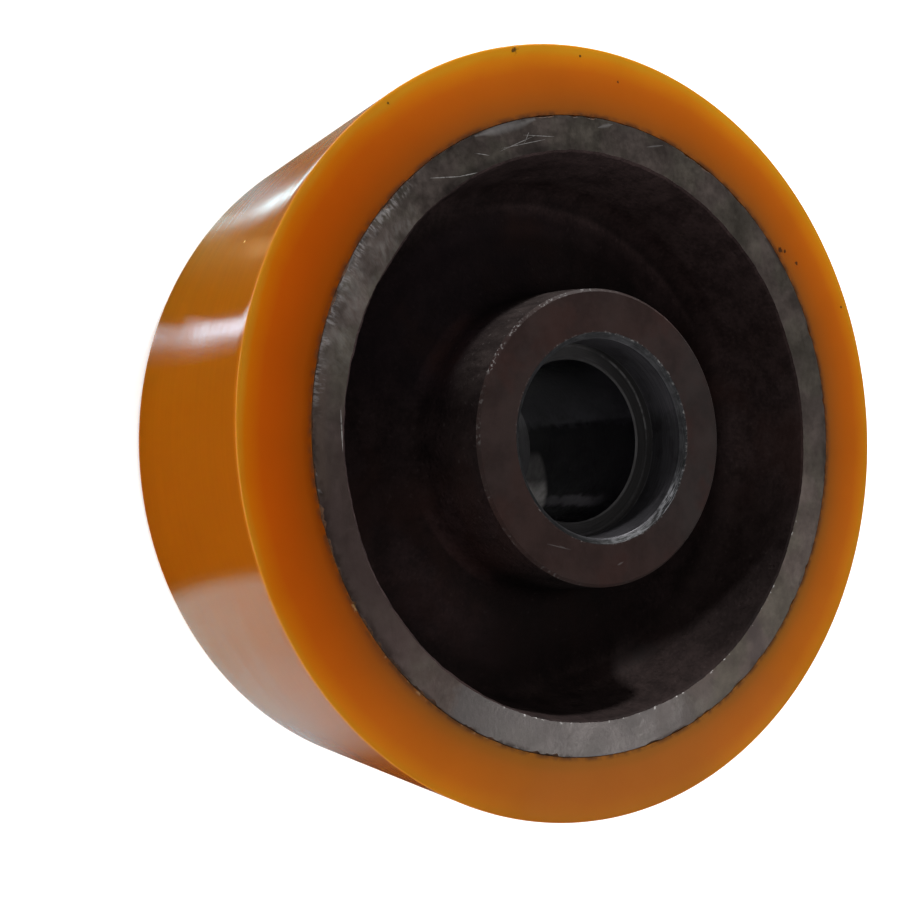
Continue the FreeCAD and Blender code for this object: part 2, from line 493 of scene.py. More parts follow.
class Finish(Shader):
    """A material of the wheel, whose base colour is laid on in layers."""

    def __init__(self, name, **constants):
        make_effects()
        self.material = bpy.data.materials.new(name)
        self.material.use_nodes = True
        super().__init__(self.material.node_tree)
        self.inputs = self.tree.nodes["Principled BSDF"].inputs
        for label, value in constants.items():
            self.inputs[label.replace("_", " ")].default_value = value
        at = self.effect("turned_coordinates")
        self.place, self.outward = at["Place"], at["Around"]
        self.radius, self.angle, self.height = at["Radius"], at["Angle"], at["Height"]
        self.base = None

    def paint(self, tone, *masks):
        """Lays a tone over the base colour, as far as all its masks let it."""
        self.base = self.mix(self.times(*masks), self.base, tone)

    def shade(self, factors, *masks):
        """Scales the base colour, as far as all its masks let it."""
        self.base = self.mix(self.times(*masks or (1.0,)), self.base, factors, "MULTIPLY")

    def around(self, middle, half, fade):
        return self.sector(self.angle, middle, half, fade)

    def patches(self, scale, detail, low, high):
        inputs = {"scale": scale, "detail": detail, "low": low, "high": high}
        return self.effect("patches", vector=self.place, **inputs)["Mask"]

    def tool_lines(self, across, pitch, wander):
        inputs = {"across": across, "pitch": pitch, "wander": wander}
        return self.effect("tool_lines", around=self.outward, **inputs)["Lines"]

    def drifted(self, edge, radius):
        """The radius of an edge where it strays from its circle."""
        for turns, size, crest in EDGE_DRIFT[edge]:
            wave = self.math("COSINE", self.times(self.minus(self.angle, math.radians(crest)), turns))
            radius = self.plus(radius, self.times(wave, size * MM))
        return radius

    def spotted(self, uneven, spots):
        """A mask of small spots, each given by its angle, radius, height and size."""
        masks = []
        for angle, radius, height, size in spots:
            centre = polar(angle, radius, height)
            speck = self.effect("speck", place=self.place, centre=centre, size=size * MM, uneven=uneven)
            masks.append(speck["Mask"])
        return self.most(*masks)

    def scratched(self, cuts, height):
        """A mask of straight scratches, each given by the angle and radius of both ends and its width."""
        masks = []
        for first, first_radius, last, last_radius, width in cuts:
            ends = {"from": polar(first, first_radius, height), "to": polar(last, last_radius, height)}
            masks.append(self.effect("scratch", place=self.place, width=width * MM, **ends)["Mask"])
        return self.most(*masks)

    def finish(self, roughness, relief, distance, strength=1.0):
        """Connects the colour, the roughness and the fine relief, and gives the material."""
        bump = self.add("Bump", {"Height": relief, "Distance": distance, "Strength": strength})
        self.set(self.inputs["Base Color"], self.base)
        self.set(self.inputs["Roughness"], roughness)
        self.set(self.inputs["Normal"], bump.outputs[0])
        return self.material


# Finishes

def polyurethane(sizes, colours):
    """Amber polyurethane with painted glow at its corners and painted shade by the iron, glossy on the
    tread.
    """
    sh = Finish(
        "polyurethane", Subsurface_Weight=0.25, Subsurface_Radius=(4 * MM, 1.5 * MM, 0.4 * MM),
        Subsurface_Scale=1.0, IOR=1.5, Specular_IOR_Level=0.0, Coat_Roughness=0.075, Coat_IOR=1.5,
    )
    lip, body, deep = colours.amber_lip, colours.amber, colours.amber_deep
    depth = sh.minus(sizes.tread_radius, sh.radius)
    inset = sh.minus(sizes.half_width, sh.math("ABSOLUTE", sh.height))
    off_face = sh.step(inset, 0.2 * sizes.tread_edge, sizes.tread_edge)
    on_tread = sh.times(off_face, sh.step(depth, 3 * MM, 2 * MM))

    # The face, from the tread's corner to the bond: painted glow near the corner, painted shade near the
    # iron
    wobble = sh.times(sh.minus(sh.noise(sh.place, 60, 3.0), 0.5), 2 * MM)
    across = sh.math("DIVIDE", sh.plus(depth, wobble), sizes.tread_radius - sizes.bond_radius)
    red = sh.ramp(across, [
        (0.05, toned(lip, 0.85)), (0.14, amber_tone(body, 1.32, 1.95, body[2])),
        (0.34, amber_tone(body, 1.14, 1.16, body[2])), (0.58, body), (0.9, deep), (1.0, toned(deep, 0.7)),
    ])
    yellow = sh.ramp(across, [
        (0.05, lip), (0.14, amber_tone(body, 1.56, 2.95, 0.008)),
        (0.34, amber_tone(body, 1.31, 2.02, 0.008)), (0.58, amber_tone(body, 1.12, 1.78, 0.008)),
        (0.88, amber_tone(deep, 1.0, 1.7, 0.012)), (1.0, amber_tone(deep, 0.5, 1.2, 0.018)),
    ])
    # Sectors by angle: yellower near 12° and darker by the bond there, redder near 258°, an even amber near
    # 357°
    dimmed = sh.ramp(across, [(0.72, (1, 1, 1)), (0.8, (0.91, 0.98, 0.95)), (0.9, (0.86, 0.97, 0.93))])
    yellower_side = sh.around(12, 0.5, 0.9)
    redder_side = sh.around(258, 0.25, 1.0)
    sh.base = sh.mix(sh.minus(sh.level(yellower_side, 0.6, 0.4), sh.times(redder_side, 0.6)), red, yellow)
    sh.paint(amber_tone(body, 1.12, 1.85, 0.012), yellower_side, 0.3)
    sh.paint((0.3, 0.094, 0.014), sh.around(357, 0.25, 0.3), 0.6)
    sh.shade(dimmed, yellower_side)
    # Painted glow through the outer face near 160°, on the key lamp's side
    sh.shade((1.06, 1.13, 1.0), sh.around(160, 0.6, 0.5), sh.step(depth, 9 * MM, 3 * MM))

    # The tread and its edges, with painted sheen on the edge band and along a ridge line near 248°
    tread_tone = amber_tone(body, 0.815, 1.18, body[2])
    edge_tone = amber_tone(body, 1.15, 1.9, 0.004)
    tread = sh.ramp(sh.times(inset, 100.0), [(0.0, lip), (0.07, edge_tone), (0.2, tread_tone)])
    ridge_sheen = sh.times(sh.close_to(inset, 2 * MM, 0.4 * MM), sh.around(248, 0.25, 0.2), 0.35)
    sh.paint(sh.mix(ridge_sheen, tread, edge_tone), on_tread)

    # Clouds, dirt and painted shade by the bond, and spots
    sh.paint((0.16, 0.035, 0.002), sh.patches(45, 4, 0.35, 0.68), 0.10)
    from_bond = sh.minus(sh.radius, sh.drifted("bond", sizes.bond_radius))
    grime_and_shade = sh.times(sh.step(from_bond, 1.5 * MM, 0.1 * MM), sh.patches(330, 5, 0.34, 0.60))
    sh.paint((0.045, 0.02, 0.011), grime_and_shade, 0.75)
    crumbs = sh.times(sh.patches(480, 3, 0.6, 0.68), sh.step(from_bond, 1.0 * MM, 0.3 * MM))
    sh.paint((0.2, 0.105, 0.05), crumbs, sh.around(305, 0.35, 0.2))
    grain = sh.noise(sh.place, 1400, 2.0)
    uneven = sh.times(grain, 1.8)
    sh.paint((0.02, 0.012, 0.008), sh.spotted(uneven, TYRE_SPOTS), 0.85)
    sh.paint((0.85, 0.62, 0.25), sh.spotted(uneven, [PALE_SPOT]))

    # Gloss, with the lines of the lathe
    lines = sh.tool_lines(sh.height, 900.0, 1.5)
    coarse = sh.tool_lines(sh.height, 420.0, 3.0)
    worn = sh.times(sh.around(226, 0.14, 0.1), sh.step(coarse, 0.38, 0.62, -0.08, 0.1))
    sheen = sh.plus(sh.step(lines, 0.3, 0.7, 0.4, 0.6), worn)
    sh.set(sh.inputs["Coat Weight"], sh.most(sh.times(on_tread, sheen), 0.02))
    relief = sh.add("Mix", {0: on_tread, 2: grain, 3: lines}, data_type="FLOAT").outputs[0]
    return sh.finish(sh.level(grain, 0.42, 0.16), relief, 0.02 * MM, 0.6)


def ground_rim(sizes, colours):
    """The rim's end face, ground by hand, with browned patches, flakes, scratches, torn edges and painted
    reflection and shade.
    """
    sh = Finish("ground_rim", Metallic=1.0)
    place, angle, radius = sh.place, sh.angle, sh.radius
    bond = sizes.bond_radius
    to_bond = sh.minus(sh.drifted("bond", bond), radius)
    from_lip = sh.minus(radius, sh.drifted("lip", bond - sizes.rim_wall))
    slant = sh.plus(angle, sh.times(sh.minus(radius, bond), 7.0))
    turned = sh.join(sh.math("COSINE", slant), sh.math("SINE", slant), sh.times(radius, 420.0))
    strokes = sh.noise(sh.vector("MULTIPLY", turned, (70, 70, 1)), 1.0, 4.0, 0.6)
    mottle = sh.noise(place, 700, 4.0, 0.6)
    cloud = sh.noise(place, 130, 4.0, 0.6)
    loose = sh.plus(angle, sh.times(sh.minus(cloud, 0.5), 0.25))
    fresh = sh.sector(loose, 237, 0.22, 0.12)
    browned = sh.sector(loose, 288, 0.3, 0.3)
    # Painted reflection: lighter grey near 350°
    painted_reflection = sh.most(sh.sector(loose, 344, 0.38, 0.06), sh.sector(loose, 358, 0.12, 0.45))

    # Ground iron and its stains, with painted reflection and shade round the wheel
    tone = sh.step(sh.plus(sh.times(mottle, 0.4), sh.times(cloud, 0.6)), 0.24, 0.76)
    sh.base = sh.mix(tone, colours.stained_iron, colours.ground_iron)
    sh.shade(sh.step(sh.noise(place, 120, 4.0, 0.6), 0.36, 0.66, 0.8, 1.2))
    sh.shade((0.96, 1.06, 0.96), sh.patches(70, 3, 0.44, 0.58), 0.7)
    sh.paint((0.178, 0.164, 0.161), painted_reflection, 0.8)
    sh.shade(sh.round_ramp(loose, [(degrees, (grey,) * 3) for degrees, grey in RIM_PAINTED_LIGHT]))
    sh.paint((0.1, 0.067, 0.063), browned, 0.7)
    sh.shade((0.64, 0.64, 0.65), sh.step(from_lip, 3.2 * MM, 1.2 * MM), sh.sector(loose, 198, 0.2, 0.15))
    lighter_patch = sh.times(sh.step(to_bond, 4.5 * MM, 2.0 * MM), sh.sector(loose, 266, 0.09, 0.13))
    sh.paint((0.18, 0.13, 0.105), lighter_patch, 0.5)
    bright = sh.times(fresh, sh.patches(120, 3, 0.38, 0.6), sh.step(strokes, 0.36, 0.72))
    sh.paint((0.34, 0.33, 0.31), bright, 0.5)
    stain = sh.sector(sh.minus(slant, sh.times(cloud, 0.08)), 35.2, 0.02, 0.045)
    sh.paint((0.07, 0.055, 0.055), stain, 0.6)

    # Flakes, scratches, dirt and torn edges
    sh.paint((0.33, 0.31, 0.3), sh.scratched(RIM_FLAKES, RIM_FACE), 0.75)
    sh.paint((0.62, 0.6, 0.58), sh.scratched(RIM_SCRATCHES, RIM_FACE), sh.step(mottle, 0.25, 0.55))
    torn = sh.times(sh.step(to_bond, 1.5 * MM, 0.1 * MM), sh.patches(240, 6, 0.46, 0.64))
    line = sh.step(to_bond, 0.45 * MM, 0.0, 0.0, 0.7)
    spread = sh.times(sh.step(to_bond, 3.0 * MM, 0.3 * MM), sh.patches(170, 4, 0.42, 0.6))
    dirty = sh.most(browned, sh.around(41, 0.08, 0.06), sh.around(85, 0.08, 0.06))
    dark = sh.most(torn, line, sh.times(spread, dirty, 0.8))
    sh.paint((0.035, 0.024, 0.02), dark, 0.8)
    burr = sh.times(sh.step(from_lip, 1.3 * MM, 0.6 * MM), sh.around(22, 0.75, 0.3))
    sh.paint((0.68, 0.66, 0.64), sh.patches(620, 3, 0.6, 0.68), burr)
    dashes = sh.step(sh.tool_lines(radius, 420.0, 105.0), 0.43, 0.63)
    rough_edge = sh.times(sh.step(to_bond, 3.2 * MM, 1.2 * MM), sh.sector(loose, 240, 0.3, 0.1))
    broken = sh.step(sh.noise(place, 210, 3.0), 0.35, 0.52)
    sh.paint((0.48, 0.44, 0.43), dashes, rough_edge, broken, 0.85)
    relief = sh.plus(sh.times(strokes, sh.plus(0.2, fresh)), sh.times(mottle, 0.8))
    return sh.finish(sh.level(tone, 0.34, 0.16), sh.minus(relief, sh.times(dark, 0.6)), 0.06 * MM)


def bond_line(sizes, colours):
    """The open, dirty line between the iron and the polyurethane."""
    sh = Finish("bond_line")
    grain = sh.effect("casting_grain", place=sh.place, grain=1500.0)
    sh.base = sh.mix(grain["Tone"], (0.02, 0.011, 0.008), (0.11, 0.055, 0.03))
    return sh.finish(sh.level(grain["Tone"], 0.7, 0.2), grain["Height"], 0.2 * MM)


def as_cast(sizes, colours):
    """Dark as-cast skin: near black on the web, browner on the rim's wall, rusty and worn in places, with
    painted light and shade.
    """
    sh = Finish("as_cast", Specular_IOR_Level=0.06)
    place, radius = sh.place, sh.radius
    height = sh.math("ABSOLUTE", sh.height)
    grain = sh.effect("casting_grain", place=place, grain=900.0)
    tone = grain["Tone"]
    skin, rust = colours.cast_skin, rgba(colours.cast_rust)
    sh.base = sh.mix(tone, toned(skin, 0.6), toned(skin, 1.35))
    # A painted cool tint of shade near 212°
    sh.paint((0.0046, 0.0033, 0.0042), sh.around(212, 0.5, 0.4), 0.5)
    sh.base = sh.effect("rust", place=place, colour=sh.base, rust=rust, amount=0.42)["Colour"]

    # The web: painted shadow near 0° and 172°, and painted light where it lies open
    sh.paint((0.0035, 0.0022, 0.0021), sh.around(0, 0.35, 0.4), 0.65)
    sh.paint((0.0045, 0.003, 0.003), sh.around(172, 0.35, 0.4), 0.4)
    sh.shade((1.45, 1.42, 1.42), sh.around(268, 1.15, 0.4), sh.step(radius, 45 * MM, 55 * MM))
    far_web = sh.times(sh.around(265, 1.2, 0.3), sh.step(radius, 57 * MM, 63 * MM))
    low_web = sh.times(sh.around(318, 0.24, 0.2), sh.step(radius, 46 * MM, 50 * MM))
    sh.shade((1.48, 1.46, 1.46), sh.most(far_web, low_web))

    # The rim's wall and the roots of the pocket, in painted light and shade
    wall = sh.step(radius, 61.5 * MM, 67 * MM)
    # Lit and shaded copies of the wall's brown: painted light and shade
    lit_brown = sh.mix(tone, (0.0155, 0.01, 0.0098), (0.034, 0.0222, 0.0215))
    shaded_brown = sh.mix(tone, (0.0072, 0.0046, 0.0044), (0.0155, 0.0101, 0.0096))
    brown = sh.mix(sh.around(35, 0.9, 1.2), lit_brown, shaded_brown)
    # Darker deeper in the pocket: painted shade
    brown = sh.mix(1.0, brown, sh.step(radius, 64 * MM, 72 * MM, 0.6, 1.6), "MULTIPLY")
    sh.paint(brown, wall, 0.85)
    # Painted shade near 131°
    sh.shade((0.66, 0.64, 0.64), sh.around(131, 0.3, 0.4))
    # Painted shade in the hollow of the fillet near 155° and 18°
    hollow = sh.times(sh.step(radius, 65.5 * MM, 67.5 * MM), sh.step(height, 20 * MM, 16 * MM))
    shaded_sides = sh.most(sh.around(155, 0.55, 0.3), sh.around(18, 0.25, 0.2))
    sh.shade((0.5, 0.47, 0.47), hollow, shaded_sides)
    # Painted light on the shelf near 155°
    lit_shelf = sh.times(sh.step(radius, 56 * MM, 60 * MM), sh.step(radius, 67 * MM, 65 * MM))
    sh.shade((1.6, 1.55, 1.55), lit_shelf, sh.around(155, 0.4, 0.3))
    # Painted light by the hub's root, against its shade
    root = sh.most(sh.around(306, 0.2, 0.3), sh.times(sh.around(230, 0.2, 0.2), 0.5))
    sh.shade((1.9, 1.7, 1.7), root, sh.step(radius, 43.5 * MM, 42.5 * MM))
    # Painted light on the wall near 77°
    sh.shade((1.5, 1.5, 1.5), wall, sh.around(77, 0.12, 0.2))
    # Painted shade on the wall near 55° and 352°
    shaded = sh.most(sh.around(55, 0.25, 0.4), sh.times(sh.around(352, 0.2, 0.25), 0.25))
    sh.paint((0.004, 0.0026, 0.0025), wall, shaded, 0.6)

    # Rust, dust, painted light and wear beside the hub's end
    reddened = sh.most(sh.around(92, 0.16, 0.3), sh.around(303, 0.2, 0.35))
    sh.paint((0.0155, 0.0072, 0.006), sh.patches(60, 5, 0.42, 0.66), reddened, 0.5)
    # Dust, with the painted light of the key lamp's patch on the wall near 15°
    dust_and_light = sh.mix(tone, (0.0094, 0.0061, 0.0057), (0.019, 0.0128, 0.012))
    sh.paint(dust_and_light, wall, sh.around(15, 0.08, 0.4), sh.step(height, 13.5 * MM, 17 * MM), 0.85)
    # Painted light on the hub's lit side near 218°, in streaks, with bright flecks
    near_hub = sh.step(radius, sizes.hub_radius + 3 * MM, sizes.hub_radius + 1 * MM)
    lit_side = sh.level(sh.around(218, 0.35, 0.35), 0.12, 0.88)
    beside = sh.times(near_hub, sh.step(height, 24 * MM, 34 * MM), lit_side)
    streaks = sh.step(sh.noise(sh.vector("MULTIPLY", place, (1, 1, 0.4)), 300, 5.0, 0.62), 0.3, 0.74)
    sh.paint(sh.mix(streaks, (0.016, 0.0118, 0.011), (0.038, 0.029, 0.027)), beside, 0.8)
    sh.paint((0.2, 0.18, 0.17), sh.patches(900, 4, 0.64, 0.72), sh.level(beside, 0.02, 0.3))
    return sh.finish(sh.level(tone, 0.66, 0.2), grain["Height"], 0.35 * MM, 0.8)


def hub_face(sizes, colours):
    """The hub's turned end under a film that is reddish in places and olive in others, with worn edges and
    a painted highlight.
    """
    sh = Finish("hub_face", Specular_IOR_Level=0.06)
    film = colours.hub_oxide
    cloud = sh.patches(95, 5, 0.32, 0.70)
    fine = sh.noise(sh.place, 420, 5.0, 0.6)
    side = sh.times(sh.around(85, 0.6, 0.7), 0.6)
    olive = sh.plus(side, sh.times(sh.patches(42, 4, 0.44, 0.6), 0.4))
    sh.base = sh.mix(olive, toned(film, 1.0, 0.92, 0.86), toned(film, 0.95, 1.18, 1.18))
    sh.shade(sh.step(cloud, 0.0, 1.0, 0.84, 1.14))
    sh.paint(toned(film, 1.25, 0.95, 0.85), sh.patches(65, 4, 0.54, 0.66), 0.6)
    sh.paint(toned(film, 1.5), sh.step(fine, 0.35, 0.75, 0.0, 0.3))
    torn = sh.times(sh.patches(1300, 4, 0.5, 0.68), sh.patches(170, 3, 0.42, 0.6))
    # Worn outer edge, with a painted highlight strongest near 214°
    edge = sh.step(sh.radius, sizes.hub_radius - 1.0 * MM, sizes.hub_radius - 0.5 * MM)
    edge = sh.times(edge, sh.level(sh.around(214, 0.38, 0.25), 0.15, 0.45))
    entry = sizes.seat_radius + sizes.lead_in
    inner = sh.times(sh.step(sh.radius, entry + 0.5 * MM, entry), 0.35)
    scratches = sh.times(sh.scratched(HUB_SCRATCHES, HUB_FACE), 0.14)
    sh.paint(colours.bright_iron, sh.most(sh.times(sh.most(edge, inner), torn), scratches), 0.55)
    return sh.finish(sh.level(cloud, 0.5, 0.14), sh.plus(fine, sh.times(cloud, 0.6)), 0.05 * MM)


def bearing_seat(sizes, colours):
    """Turned seat, with painted shade towards its foot, tool lines, bright edges, stains and a scuffed
    lead-in.
    """
    sh = Finish("bearing_seat", Metallic=0.86)
    iron = colours.seat_iron
    top = sizes.hub_half
    foot = top - sizes.seat_depth + sizes.relief_width
    height = sh.math("ABSOLUTE", sh.height)
    across = sh.plus(sh.radius, sh.height)
    lines = sh.tool_lines(across, 3200.0, 2.2)
    sh.base = sh.mix(sh.step(lines, 0.3, 0.7), toned(iron, 0.7), toned(iron, 1.25))
    sh.paint((0.055, 0.05, 0.052), sh.patches(160, 5, 0.46, 0.68), 0.6)
    # Painted shade towards the foot, painted light near 138° and painted shade at the lower end near 95°
    sh.shade(sh.step(height, foot, top - sizes.lead_in, 0.38, 0.52))
    sh.shade((2.1, 2.1, 2.1), sh.around(138, 0.45, 0.35))
    sh.shade((0.55, 0.55, 0.53), sh.step(sh.height, 0.0, -1 * MM), sh.around(95, 0.3, 0.3))
    groove = sh.mix(lines, (0.03, 0.028, 0.028), (0.12, 0.115, 0.115))
    sh.paint(groove, sh.step(height, foot, foot - 0.1 * MM))

    # Bright edges: wear, and painted highlights strongest near 120°
    uneven = sh.patches(330, 4, 0.36, 0.64)
    lower_edge = sh.times(sh.close_to(height, foot + 0.1 * MM, 0.45 * MM), 0.5)
    shoulder_edge = sh.times(sh.close_to(sh.radius, sizes.bore_radius + 0.25 * MM, 0.4 * MM), 0.18)
    low = sh.step(height, foot, foot - 1.5 * MM)
    highlight_side = sh.level(sh.around(120, 0.3, 0.4), 0.3, 1.6)
    tool_mark = sh.times(sh.close_to(sh.radius, 25.6 * MM, 0.5 * MM), low, highlight_side)
    ridges = sh.most(lower_edge, shoulder_edge, tool_mark)
    sh.paint((0.3, 0.295, 0.295), ridges, sh.plus(0.3, uneven), 0.65)

    # The lead-in: scrapes, in painted light and shade by angle
    shades = [(degrees, (grey, grey, 1.05 * grey)) for degrees, grey in LEAD_IN_PAINTED_LIGHT]
    scrapes = sh.tool_lines(across, 2600.0, 9.0)
    gentle = sh.step(scrapes, 0.36, 0.66, 0.75, 1.3)
    harsh = sh.step(scrapes, 0.44, 0.58, 0.25, 2.4)
    scraped_and_shaded = sh.mix(sh.around(20, 0.5, 0.5), gentle, harsh)
    scraped_and_shaded = sh.mix(1.0, scraped_and_shaded, sh.step(uneven, 0.0, 1.0, 0.7, 1.2), "MULTIPLY")
    scraped_and_shaded = sh.mix(1.0, sh.round_ramp(sh.angle, shades), scraped_and_shaded, "MULTIPLY")
    sh.paint(scraped_and_shaded, sh.step(height, top - 2.4 * MM, top - 0.8 * MM))
    scuff = sh.patches(1100, 4, 0.5, 0.66)
    lip = sh.times(sh.step(height, top - 0.45 * MM, top - 0.15 * MM), uneven, 0.6)
    sh.paint(colours.bright_iron, lip, sh.around(118, 0.9, 0.4), scuff)
    return sh.finish(sh.level(lines, 0.42, 0.2), sh.plus(lines, sh.times(scuff, 0.5)), 0.03 * MM)


def rough_bore(sizes, colours):
    """The bore between the seats: nearly black, with painted light above its ledge, a painted highlight
    band and a painted lit end.
    """
    sh = Finish("rough_bore", Specular_IOR_Level=0.03)
    height = sh.height
    grain = sh.effect("casting_grain", place=sh.place, grain=700.0)
    tone = grain["Tone"]
    sh.base = sh.mix(tone, (0.0008, 0.0006, 0.0011), (0.0022, 0.0018, 0.0027))
    ragged = sh.plus(sh.angle, sh.times(sh.minus(sh.noise(sh.place, 190, 4.0), 0.5), 0.3))
    # Painted light above the ledge, fading deeper in the bore
    above = sh.times(
        sh.step(ragged, math.radians(100), math.radians(107)),
        sh.step(ragged, math.radians(178), math.radians(120), 0.4, 1.0),
        sh.step(height, 24 * MM, -8 * MM, 0.35, 1.0),
    )
    sh.paint(sh.mix(tone, (0.016, 0.0155, 0.0175), (0.029, 0.0285, 0.032)), above)
    # A painted highlight band along the bore near 38.5°
    highlight_strip = sh.times(sh.step(height, 24 * MM, 8 * MM), sh.step(height, -12 * MM, -4 * MM))
    sh.paint((0.072, 0.067, 0.074), sh.sector(ragged, 38.5, 0.03, 0.1), highlight_strip, 0.75)
    # A painted patch of light near the bore's lower end, about 42°
    slope = sh.plus(height, sh.times(sh.angle, 17 * MM))
    lighter_patch = sh.most(sh.around(42, 0.05, 0.36), sh.times(sh.around(66, 0.15, 0.2), 0.2))
    patchy = sh.level(sh.patches(260, 4, 0.3, 0.7), 0.6, 0.4)
    sh.paint((0.36, 0.34, 0.33), sh.step(slope, 4.6 * MM, 1.6 * MM), lighter_patch, patchy)
    return sh.finish(sh.level(tone, 0.42, 0.2), grain["Height"], 0.12 * MM)


# Turned and cast shapes

class Section:
    """One end of a section in radius and height, from the middle of the bore to the middle of the rim."""

    def __init__(self, radius, height):
        self.points = [(radius, height)]
        self.finishes = []

    def to(self, radius, height, finish, step=None):
        """A straight run to a point, in pieces of about that step, or in one."""
        start, end = self.points[-1], (radius, height)
        count = max(1, round(math.dist(start, end) / step)) if step else 1
        for i in range(1, count + 1):
            share = i / count
            self.points.append(tuple(a + (b - a) * share for a, b in zip(start, end)))
            self.finishes.append(finish)

    def round_corner(self, corner, beyond, radius, finish, step, pieces=6):
        """A run towards a corner and the rounding that turns it towards the point beyond."""
        tip = Vector(corner)
        back = (Vector(self.points[-1]) - tip).normalized()
        ahead = (Vector(beyond) - tip).normalized()
        half = back.angle(ahead) / 2
        run = radius / math.tan(half)
        centre = tip + (back + ahead).normalized() * (radius / math.sin(half))
        self.to(*(tip + back * run), finish, step)
        first = tip + back * run - centre
        last = tip + ahead * run - centre
        sweep = first.angle(last)
        for i in range(1, pieces + 1):
            share = i / pieces
            blend = first * math.sin((1 - share) * sweep) + last * math.sin(share * sweep)
            self.points.append(tuple(centre + blend / math.sin(sweep)))
            self.finishes.append(finish)

    def both_ends(self):
        """The closed section, with the second end as the mirror of the first."""
        mirrored = [(radius, -height) for radius, height in reversed(self.points[1:-1])]
        return np.array(self.points + mirrored), self.finishes + self.finishes[::-1]


def round_wave(angles, slowest, fastest, seed):
    """An uneven wave of about one unit right round the wheel."""
    rng = np.random.default_rng(seed)
    total = np.zeros_like(angles)
    for turns in range(slowest, fastest + 1):
        size = rng.normal() / math.sqrt(turns - slowest + 2)
        total += size * np.sin(turns * angles + rng.uniform(0, FULL_TURN))
    return total / np.abs(total).max()


def drift(edge, angles):
    """How far an edge strays from its circle at each angle."""
    total = np.zeros_like(angles)
    for turns, size, crest in EDGE_DRIFT[edge]:
        total += size * MM * np.cos(turns * (angles - math.radians(crest)))
    return total


def swell(places, wavelength, seed, waves=24):
    """A smooth uneven field of about one unit over points in space."""
    rng = np.random.default_rng(seed)
    total = np.zeros(places.shape[:-1])
    for _ in range(waves):
        direction = rng.normal(size=3)
        direction *= FULL_TURN / (wavelength * rng.uniform(0.7, 1.5) * np.linalg.norm(direction))
        total += np.sin(places @ direction + rng.uniform(0, FULL_TURN))
    return total / math.sqrt(waves)


def turned_from(angles, middle):
    """Angles seen from a middle, up to half a turn to either side."""
    return (angles - middle + math.pi) % FULL_TURN - math.pi


def chips(angles, radius, seed, count, widest, deepest, span=(0, 360)):
    """Small chips along a round edge, or along a span of it: how deep each bites at each angle."""
    rng = np.random.default_rng(seed)
    total = np.zeros_like(angles)
    for _ in range(count):
        middle = math.radians(rng.uniform(*span))
        half = rng.uniform(0.25, 1.0) * widest / radius
        away = turned_from(angles, middle)
        bite = np.clip(1 - (away / half) ** 2, 0, None) * rng.uniform(0.2, 1.0) * deepest
        total = np.maximum(total, bite)
    return total


def in_space(radius, height, angles):
    """Points in space from their radius and height at each angle."""
    return np.stack([radius * np.cos(angles), radius * np.sin(angles), height], axis=-1)


def section_normals(points):
    """Outward normals of a closed section, one for each point."""
    run = np.roll(points, -1, axis=0) - np.roll(points, 1, axis=0)
    normals = np.stack([-run[:, 1], run[:, 0]], axis=-1)
    return normals / np.linalg.norm(normals, axis=1, keepdims=True)


def within(finishes, finish):
    """Which points of a section lie inside its runs of one finish."""
    match = np.array([each == finish for each in finishes])
    return match & np.roll(match, 1)


def bond_corner(s, points, end):
    """Which point of a section is the corner beside the bond at that end."""
    on_face = np.abs(points[:, 1] - end * s.half_width) < 0.001 * MM
    return on_face & (np.abs(points[:, 0] - s.bond_radius) < 0.5 * MM)


def add_object(name, data):
    """A new object in the scene."""
    added = bpy.data.objects.new(name, data)
    bpy.context.collection.objects.link(added)
    return added


def add_mesh(name, vertices, faces):
    """A new object with a mesh of its own."""
    mesh = bpy.data.meshes.new(name)
    mesh.from_pydata(vertices, [], faces)
    return add_object(name, mesh)


def add_turned(name, section, carve, makers, scene):
    """A closed ring from a section. Its points are carved, and the makers give it its finishes."""
    sizes, colours = scene.wheel_sizes, scene.wheel_colours
    points, finishes = section(sizes)
    segments = sizes.segments
    angles = np.arange(segments) * FULL_TURN / segments
    radius = np.repeat(points[:, 0:1], segments, axis=1)
    height = np.repeat(points[:, 1:2], segments, axis=1)
    carve(sizes, points, finishes, angles, radius, height)
    vertices = in_space(radius, height, angles).reshape(-1, 3)
    row, place = np.meshgrid(np.arange(len(points)) * segments, np.arange(segments), indexing="ij")
    ahead, beside = np.roll(row, -1, axis=0), np.roll(place, -1, axis=1)
    quads = np.stack([row + place, ahead + place, ahead + beside, row + beside], axis=-1).reshape(-1, 4)
    piece = add_mesh(name, vertices.tolist(), quads.tolist())
    mesh = piece.data
    for make in makers:
        mesh.materials.append(make(sizes, colours))
    slots = [make.__name__ for make in makers]
    used = np.repeat([slots.index(finish) for finish in finishes], segments)
    mesh.polygons.foreach_set("material_index", used.astype(np.int32))
    mesh.shade_smooth()
    mesh.set_sharp_from_angle(angle=SHARP_ANGLE)
    return piece


